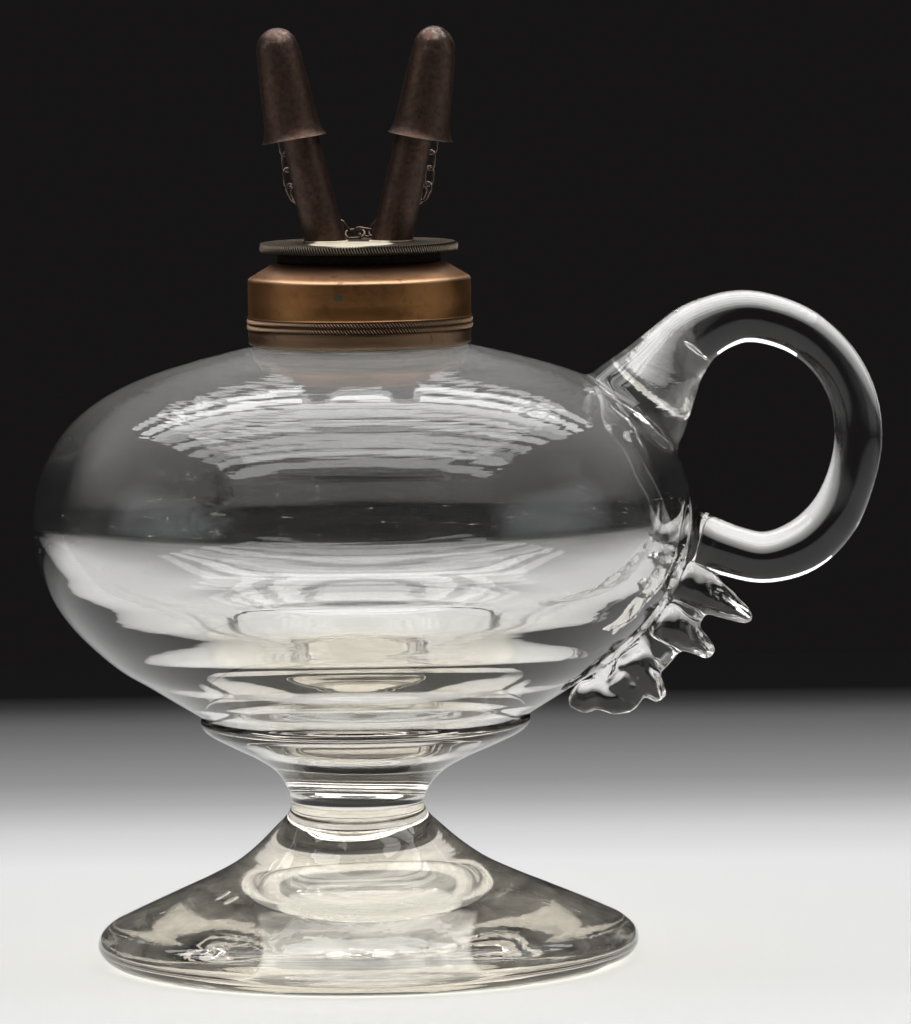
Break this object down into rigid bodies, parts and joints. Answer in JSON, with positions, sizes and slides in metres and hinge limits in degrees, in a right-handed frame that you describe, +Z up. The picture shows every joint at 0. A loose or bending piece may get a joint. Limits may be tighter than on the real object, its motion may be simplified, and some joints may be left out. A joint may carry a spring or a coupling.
{
  "type": "finger lamp",
  "caption": "Clear glass footed finger lamp with a looped handle, brass screw collar, burner plate with leaning wick tubes, and snuffer caps on a fine chain.",
  "frame": {"origin": "on the table, under the middle of the whole lamp's extents", "axes": "+Z up; +X towards the handle; +Y to the back, where the chain hangs"},
  "size_m": [0.121, 0.0938, 0.1328],
  "materials": {
    "glass": "clear, slightly grey, hand blown, polished by use",
    "plaster": "matt, dusty",
    "collar_brass": "aged brown, worn bright on edges",
    "leather": "dark, oiled, matt",
    "plate_brass": "dull grey brass with a milled edge",
    "dark_brass": "dark brown patina",
    "cotton": "braided, matt",
    "chain_brass": "dark copper brown"
  },
  "bodies": {
    "lamp_glass": {"foot": "glass", "stem": "glass", "font": "glass", "handle": "glass", "crimped_tail": "glass", "plaster_bed": "plaster", "screw_collar": "collar_brass"},
    "washer": {"leather_washer": "leather"},
    "burner": {"burner_plate": "plate_brass", "burner_screw": "plate_brass", "left_wick_tube": "dark_brass", "right_wick_tube": "dark_brass", "chain_staple": "chain_brass", "middle_link_left": "chain_brass", "middle_link_right": "chain_brass", "left_link_00": "chain_brass", "right_link_00": "chain_brass"},
    "left_cap": {"left_snuffer_cap": "dark_brass", "left_cap_eye": "dark_brass", "left_link_10": "chain_brass", "left_link_11": "chain_brass", "left_link_12": "chain_brass", "left_link_13": "chain_brass", "left_link_14": "chain_brass"},
    "left_wick_body": {"left_wick": "cotton"},
    "left_chain_01": {"left_link_01": "chain_brass"},
    "left_chain_02": {"left_link_02": "chain_brass"},
    "left_chain_03": {"left_link_03": "chain_brass"},
    "left_chain_04": {"left_link_04": "chain_brass"},
    "left_chain_05": {"left_link_05": "chain_brass"},
    "left_chain_06": {"left_link_06": "chain_brass"},
    "left_chain_07": {"left_link_07": "chain_brass"},
    "left_chain_08": {"left_link_08": "chain_brass"},
    "left_chain_09": {"left_link_09": "chain_brass"},
    "right_cap": {"right_snuffer_cap": "dark_brass", "right_cap_eye": "dark_brass", "right_link_10": "chain_brass", "right_link_11": "chain_brass", "right_link_12": "chain_brass", "right_link_13": "chain_brass", "right_link_14": "chain_brass"},
    "right_wick_body": {"right_wick": "cotton"},
    "right_chain_01": {"right_link_01": "chain_brass"},
    "right_chain_02": {"right_link_02": "chain_brass"},
    "right_chain_03": {"right_link_03": "chain_brass"},
    "right_chain_04": {"right_link_04": "chain_brass"},
    "right_chain_05": {"right_link_05": "chain_brass"},
    "right_chain_06": {"right_link_06": "chain_brass"},
    "right_chain_07": {"right_link_07": "chain_brass"},
    "right_chain_08": {"right_link_08": "chain_brass"},
    "right_chain_09": {"right_link_09": "chain_brass"}
  },
  "joints": [
    {"name": "burner_rise", "type": "slide", "parent": "lamp_glass", "child": "washer", "axis": [0, 0, 1], "range_m": [0, 0.00382]},
    {"name": "burner_turn", "type": "hinge", "parent": "washer", "child": "burner", "pos_m": [-0.01355, 0, 0.1], "axis": [0, 0, 1], "range_deg": [0, 1080]},
    {"name": "left_cap_lift", "type": "slide", "parent": "burner", "child": "left_cap", "axis": [-0.225, 0, 0.9744], "range_m": [0, 0.0145]},
    {"name": "left_wick_raise", "type": "slide", "parent": "burner", "child": "left_wick_body", "axis": [-0.225, 0, 0.9744], "range_m": [0, 0.0032]},
    {"name": "left_link_rise_01", "type": "slide", "parent": "burner", "child": "left_chain_01", "axis": [-0.225, 0, 0.9744], "range_m": [0, 0.00146]},
    {"name": "left_link_rise_02", "type": "slide", "parent": "burner", "child": "left_chain_02", "axis": [-0.225, 0, 0.9744], "range_m": [0, 0.00291]},
    {"name": "left_link_rise_03", "type": "slide", "parent": "burner", "child": "left_chain_03", "axis": [-0.225, 0, 0.9744], "range_m": [0, 0.00436]},
    {"name": "left_link_rise_04", "type": "slide", "parent": "burner", "child": "left_chain_04", "axis": [-0.225, 0, 0.9744], "range_m": [0, 0.00581]},
    {"name": "left_link_rise_05", "type": "slide", "parent": "burner", "child": "left_chain_05", "axis": [-0.225, 0, 0.9744], "range_m": [0, 0.00726]},
    {"name": "left_link_rise_06", "type": "slide", "parent": "burner", "child": "left_chain_06", "axis": [-0.225, 0, 0.9744], "range_m": [0, 0.00871]},
    {"name": "left_link_rise_07", "type": "slide", "parent": "burner", "child": "left_chain_07", "axis": [-0.225, 0, 0.9744], "range_m": [0, 0.01016]},
    {"name": "left_link_rise_08", "type": "slide", "parent": "burner", "child": "left_chain_08", "axis": [-0.225, 0, 0.9744], "range_m": [0, 0.01161]},
    {"name": "left_link_rise_09", "type": "slide", "parent": "burner", "child": "left_chain_09", "axis": [-0.225, 0, 0.9744], "range_m": [0, 0.01306]},
    {"name": "right_cap_lift", "type": "slide", "parent": "burner", "child": "right_cap", "axis": [0.225, 0, 0.9744], "range_m": [0, 0.0145]},
    {"name": "right_wick_raise", "type": "slide", "parent": "burner", "child": "right_wick_body", "axis": [0.225, 0, 0.9744], "range_m": [0, 0.0032]},
    {"name": "right_link_rise_01", "type": "slide", "parent": "burner", "child": "right_chain_01", "axis": [0.225, 0, 0.9744], "range_m": [0, 0.00146]},
    {"name": "right_link_rise_02", "type": "slide", "parent": "burner", "child": "right_chain_02", "axis": [0.225, 0, 0.9744], "range_m": [0, 0.00291]},
    {"name": "right_link_rise_03", "type": "slide", "parent": "burner", "child": "right_chain_03", "axis": [0.225, 0, 0.9744], "range_m": [0, 0.00436]},
    {"name": "right_link_rise_04", "type": "slide", "parent": "burner", "child": "right_chain_04", "axis": [0.225, 0, 0.9744], "range_m": [0, 0.00581]},
    {"name": "right_link_rise_05", "type": "slide", "parent": "burner", "child": "right_chain_05", "axis": [0.225, 0, 0.9744], "range_m": [0, 0.00726]},
    {"name": "right_link_rise_06", "type": "slide", "parent": "burner", "child": "right_chain_06", "axis": [0.225, 0, 0.9744], "range_m": [0, 0.00871]},
    {"name": "right_link_rise_07", "type": "slide", "parent": "burner", "child": "right_chain_07", "axis": [0.225, 0, 0.9744], "range_m": [0, 0.01016]},
    {"name": "right_link_rise_08", "type": "slide", "parent": "burner", "child": "right_chain_08", "axis": [0.225, 0, 0.9744], "range_m": [0, 0.01161]},
    {"name": "right_link_rise_09", "type": "slide", "parent": "burner", "child": "right_chain_09", "axis": [0.225, 0, 0.9744], "range_m": [0, 0.01306]}
  ],
  "couplings": [
    {"joint": "burner_rise", "follows": "burner_turn", "m_per_rad": 0.00020213},
    {"joint": "left_link_rise_01", "follows": "left_cap_lift", "ratio": 0.1},
    {"joint": "left_link_rise_02", "follows": "left_cap_lift", "ratio": 0.2},
    {"joint": "left_link_rise_03", "follows": "left_cap_lift", "ratio": 0.3},
    {"joint": "left_link_rise_04", "follows": "left_cap_lift", "ratio": 0.4},
    {"joint": "left_link_rise_05", "follows": "left_cap_lift", "ratio": 0.5},
    {"joint": "left_link_rise_06", "follows": "left_cap_lift", "ratio": 0.6},
    {"joint": "left_link_rise_07", "follows": "left_cap_lift", "ratio": 0.7},
    {"joint": "left_link_rise_08", "follows": "left_cap_lift", "ratio": 0.8},
    {"joint": "left_link_rise_09", "follows": "left_cap_lift", "ratio": 0.9},
    {"joint": "right_link_rise_01", "follows": "right_cap_lift", "ratio": 0.1},
    {"joint": "right_link_rise_02", "follows": "right_cap_lift", "ratio": 0.2},
    {"joint": "right_link_rise_03", "follows": "right_cap_lift", "ratio": 0.3},
    {"joint": "right_link_rise_04", "follows": "right_cap_lift", "ratio": 0.4},
    {"joint": "right_link_rise_05", "follows": "right_cap_lift", "ratio": 0.5},
    {"joint": "right_link_rise_06", "follows": "right_cap_lift", "ratio": 0.6},
    {"joint": "right_link_rise_07", "follows": "right_cap_lift", "ratio": 0.7},
    {"joint": "right_link_rise_08", "follows": "right_cap_lift", "ratio": 0.8},
    {"joint": "right_link_rise_09", "follows": "right_cap_lift", "ratio": 0.9}
  ]
}
